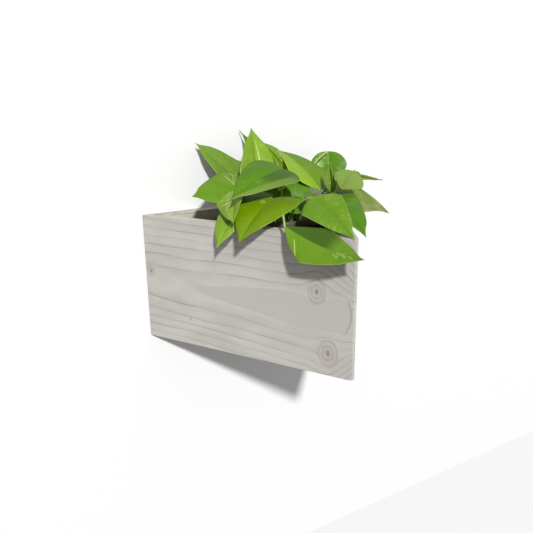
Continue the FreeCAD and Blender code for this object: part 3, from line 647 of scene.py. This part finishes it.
def addBlade(name, row, number, twin=True):
    at, turn, (length, width), bend, fold, lobe, widest, _, tone, marbling = row
    look = details.get(name, {})
    fold = look.get("fold", fold)
    tipStart, tipCut = look.get("tip", blade["tip"])
    bow = bend * blade["grown"]
    back = arc((0, 0), (-lobe * length, blade["lobeOut"] * width / 2), (widest * length, width / 2))
    flank = arc((widest * length, width / 2), ((1 + widest) / 2 * length, blade["flankOut"] * width / 2),
                (length, 0))
    split = blade["backShare"]
    draw = random.Random(number)
    swing, ripple = draw.random() * 6.3, draw.uniform(0.6, 1) * blade["wave"]
    tilt = math.radians(fold)
    placing = leafMatrix(at, turn)
    bm = bmesh.new()
    bm.loops.layers.uv.new("UVMap")
    place = bm.verts.layers.float_vector.new("place")
    bmesh.ops.create_grid(bm, x_segments=blade["rows"], y_segments=blade["columns"], size=0.5, calc_uvs=True)
    for vert in bm.verts:
        share, across = min(1, max(0, vert.co.x + 0.5)), vert.co.y * 2
        edgeAlong, edgeOut = back(share / split) if share < split else flank((share - split) / (1 - split))
        narrow = min(1, max(0, (edgeAlong / length - tipStart) / (1 - tipStart)))
        edgeOut *= 1 - tipCut * narrow * narrow * (3 - 2 * narrow)
        start = length * share ** blade["reach"]
        far = abs(across)
        s, y = start + (edgeAlong - start) * far, edgeOut * across
        vert[place] = (s / length, y, share)
        room = math.sin(math.pi * min(1, max(0, s / length))) ** 0.5 if 0 < s < length else 0
        lift = blade["skin"] - blade["crease"] * math.exp(-abs(y) / blade["creaseWidth"]) * room
        lift += blade["bulge"] * math.sin(math.pi * far) * room
        waves = math.sin(2 * math.pi * blade["veins"] * share)
        lift += blade["quilt"] * waves * math.sin(math.pi * far) * room
        lift += ripple * math.sin(9 * share + swing + (2 if across > 0 else 0)) * far ** 3 * room
        lift += abs(y) * math.sin(tilt)
        turnHere = s / bow
        vert.co = Vector((bow * math.sin(turnHere) + lift * math.sin(turnHere), y * math.cos(tilt),
                          -bow * (1 - math.cos(turnHere)) + lift * math.cos(turnHere))) * mm
    bmesh.ops.remove_doubles(bm, verts=bm.verts, dist=2e-6)
    bmesh.ops.dissolve_degenerate(bm, edges=bm.edges, dist=2e-6)
    bmesh.ops.transform(bm, matrix=placing, verts=bm.verts)
    colours = tones[tone]
    piece = finished(name + "_blade", bm, "potted_plant", "leaf_green",
                     leafFinish(name + "_face", colours, marbling, number * 3.7, False, look),
                     leafFinish(name + "_underside", colours, marbling, number * 3.7, True, look),
                     replaces=[name] if twin else ())
    shell = piece.modifiers.new("thickness", "SOLIDIFY")
    shell.thickness = blade["thick"] * mm
    shell.offset = -1
    shell.material_offset = 1
    shell.material_offset_rim = 0


stalk = {"radius": 1.5, "neck": 1.0, "into": 4, "steps": 26, "sides": 12, "run": 0.6}


def addStalks():
    _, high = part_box("potting_soil")
    bm = bmesh.new()
    for row in [*leaves.values(), *smallLeaves.values()]:
        joint = leafMatrix(row[0], row[1]).translation
        foot = Vector((row[7][0], row[7][1], 0)) * blade["grown"] * mm + middle
        foot.z = high.z
        toJoint = Vector((joint.x - foot.x, joint.y - foot.y, 0))
        across, rise = toJoint.length, joint.z - foot.z
        toJoint.normalize()
        bow = (across ** 2 + rise ** 2) / (2 * across)
        angle = 2 * math.atan2(across, rise) + stalk["run"] * mm / bow
        centre, axis = foot + toJoint * bow, toJoint.cross((0, 0, -1))
        made = bmesh.ops.create_circle(bm, segments=stalk["sides"], radius=stalk["radius"] * mm,
                                       matrix=Matrix.Translation(foot - Vector((0, 0, stalk["into"] * mm))))
        circle = made["verts"]
        start = list({edge for vert in circle for edge in vert.link_edges})
        raised = bmesh.ops.extrude_edge_only(bm, edges=start)["geom"]
        bmesh.ops.translate(bm, verts=[g for g in raised if isinstance(g, bmesh.types.BMVert)],
                            vec=(0, 0, stalk["into"] * mm))
        rim = [g for g in raised if isinstance(g, bmesh.types.BMEdge)
               and all(abs(v.co.z - foot.z) < 1e-6 for v in g.verts)]
        before = set(bm.verts)
        spun = bmesh.ops.spin(bm, geom=rim, cent=centre, axis=axis, angle=angle, steps=stalk["steps"],
                              use_merge=False, use_duplicate=False)
        for vert in set(bm.verts) - before:
            arm = vert.co - centre
            flat = arm.dot(toJoint)
            gone = math.atan2(arm.z, -flat) / angle
            ring = centre - toJoint * bow * math.cos(gone * angle)
            ring += Vector((0, 0, bow * math.sin(gone * angle)))
            slim = 1 + (stalk["neck"] / stalk["radius"] - 1) * gone
            vert.co = ring + (vert.co - ring) * slim
        ends = [g for g in spun["geom_last"] if isinstance(g, bmesh.types.BMEdge)] + start
        bmesh.ops.holes_fill(bm, edges=ends, sides=0)
    outwards(bm)
    green = Finish("petiole_green")
    point = green.node("TexCoord", {}, {}, "Object")
    fleck, long = green.noise(point, 300, 2), green.noise(point, 40, 2)
    colour = green.mix(green.ramp(long, 0.35, 0.65), paint(146, 176, 82), paint(172, 196, 112))
    colour = green.mix(green.ramp(fleck, 0.62, 0.7) * 0.4, colour, paint(104, 96, 56))
    green.surface(Base_Color=colour, Roughness=0.42 + fleck * 0.1, Normal=green.bump(fleck, 0.1 * mm))
    finished("petioles", bm, "potted_plant", "green_stem", green.owner)


for number, (name, row) in enumerate([*leaves.items(), *smallLeaves.items()], 1):
    addBlade(name, row, number, name in leaves)
addStalks()
print("leaves made")

# vine stems, swollen and browned at their joints
stems = {"places": [(-12, -8, 10), (10, -18, 6), (22, -8, 8), (0, 14, 14)], "radius": 3, "tip": 2,
         "swell": 0.55, "swellWidth": 0.9, "brownWidth": 0.8, "spacing": 9, "stagger": 2.5, "into": 4,
         "rows": 40, "sides": 18, "roundFrom": 0.93}


def addStems():
    _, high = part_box("potting_soil")
    bm = bmesh.new()
    joint = bm.verts.layers.float.new("joint")
    ground = high.z / mm

    def fromJoint(height, number):
        # how far a height is from a stem's nearest swollen joint
        return abs((height - ground + number * stems["stagger"]) % stems["spacing"] - stems["spacing"] / 2)

    count, rounded = stems["rows"], stems["roundFrom"]
    for number, (right, behind, above) in enumerate(stems["places"]):
        top = mouth / mm + above
        chain = []
        for n in range(count + 1):
            share = n / count
            height = ground - stems["into"] + (top - ground + stems["into"]) * share
            swell = math.exp(-(fromJoint(height, number) / stems["swellWidth"]) ** 2)
            radius = stems["radius"] + (stems["tip"] - stems["radius"]) * share + stems["swell"] * swell
            if share > rounded:
                radius *= math.sqrt(max(0, 1 - ((share - rounded) / (1 - rounded)) ** 2))
            chain.append((radius * mm, height * mm))
        fresh = lathe(bm, [(0, chain[0][1])] + chain, stems["sides"],
                      Vector((right, behind, 0)) * mm + middle)
        for vert in fresh:
            vert[joint] = math.exp(-(fromJoint(vert.co.z / mm, number) / stems["brownWidth"]) ** 2)
    outwards(bm)
    green = Finish("vine_green")
    band = green.node("Attribute", {"attribute_name": "joint"}, {}, "Fac")
    point = green.node("TexCoord", {}, {}, "Object")
    fleck = green.noise(point, 260, 3)
    colour = green.mix(green.ramp(fleck, 0.35, 0.7), paint(124, 160, 62), paint(152, 180, 90))
    colour = green.mix(green.ramp(band + fleck * 0.5, 0.7, 1.05), colour, paint(96, 74, 44))
    green.surface(Base_Color=colour, Roughness=0.5 + fleck * 0.2, Normal=green.bump(fleck, 0.2 * mm))
    finished("jointed_stems", bm, "potted_plant", "green_stem", green.owner, replaces=["vine_stems"])


addStems()
print("stems made")

# wall, floor, light and camera
stage = {"wallGap": 0.6, "wallSize": 3.0, "floorDrop": 450, "floorSize": 3.0,
         "sunWay": (0.293, 0.793, -0.534), "sunStrength": 3.1, "sunSoft": 4, "sky": 0.41, "wallShown": 0.9,
         "floorShown": 1.0, "floorBounce": 0.24}


def addPlane(name, size, tilt, place, finish):
    bm = bmesh.new()
    bmesh.ops.create_grid(bm, x_segments=2, y_segments=2, size=size / 2)
    bmesh.ops.rotate(bm, verts=bm.verts, matrix=Matrix.Rotation(math.radians(tilt), 3, "X"))
    bmesh.ops.translate(bm, verts=bm.verts, vec=place)
    mesh = bpy.data.meshes.new(name)
    bm.to_mesh(mesh)
    bm.free()
    obj = bpy.data.objects.new(name, mesh)
    wear(obj, finish)
    bpy.context.scene.collection.objects.link(obj)


def addStage():
    plaster = Finish("wall_white")
    plaster.surface(Base_Color=grey(stage["wallShown"]), Roughness=0.95, Specular_IOR_Level=0.0)
    # The wall is there for the camera, and only from its front: light reaches the planter's back through it.
    seen = plaster.node("LightPath", {}, {}, "Is Camera Ray")
    away = plaster.most(plaster.node("NewGeometry", {}, {}, "Backfacing"), 1 - seen)
    clear = plaster.node("BsdfTransparent", {}, {})
    shade = plaster.node("MixShader", {}, {0: away, 1: Signal(plaster, plaster.shader.outputs[0]), 2: clear})
    output = plaster.tree.nodes["Material Output"]
    plaster.tree.links.new(shade.socket, output.inputs["Surface"])
    addPlane("wall", stage["wallSize"], 90, (0, stage["wallGap"] * mm, 0), plaster.owner)
    # as bright as shown to the camera, dimmer in the light it throws back
    pale = Finish("floor_pale")
    seen = pale.node("LightPath", {}, {}, "Is Camera Ray")
    colour = pale.mix(seen, grey(stage["floorBounce"]), grey(stage["floorShown"]))
    pale.surface(Base_Color=colour, Roughness=0.95, Specular_IOR_Level=0.0)
    addPlane("floor", stage["floorSize"], 0, (0, 0, -stage["floorDrop"] * mm), pale.owner)

    lamp = bpy.data.lights.new("window", "SUN")
    lamp.energy = stage["sunStrength"]
    lamp.angle = math.radians(stage["sunSoft"])
    sun = bpy.data.objects.new("window", lamp)
    sun.rotation_mode = "QUATERNION"
    sun.rotation_quaternion = Vector(stage["sunWay"]).to_track_quat("-Z", "Y")
    bpy.context.scene.collection.objects.link(sun)

    world = bpy.data.worlds.new("studio")
    bpy.context.scene.world = world
    sky = Finish("studio", world)
    seen = sky.node("LightPath", {}, {}, "Is Camera Ray")
    back = sky.tree.nodes["Background"]
    back.inputs["Color"].default_value = grey(1)
    sky.feed(back.inputs["Strength"], stage["sky"] + seen * (1 - stage["sky"]))


view = {"at": (-332.3, -617.5, 198.1), "right": (0.85886, -0.51203, -0.01264),
        "up": (0.15563, 0.2376, 0.95876), "lens": 40.03, "sensor": 36}


def addCamera():
    lens = bpy.data.cameras.new("camera")
    lens.lens = view["lens"]
    lens.sensor_width = view["sensor"]
    lens.clip_start = 0.01
    camera = bpy.data.objects.new("camera", lens)
    right, up = Vector(view["right"]), Vector(view["up"])
    facing = Matrix((right, up, right.cross(up))).transposed().to_4x4()
    camera.matrix_world = Matrix.Translation(Vector(view["at"]) * mm) @ facing
    bpy.context.scene.collection.objects.link(camera)
    bpy.context.scene.camera = camera


addStage()
addCamera()
bpy.context.scene.view_settings.view_transform = "Standard"
print("stage set")
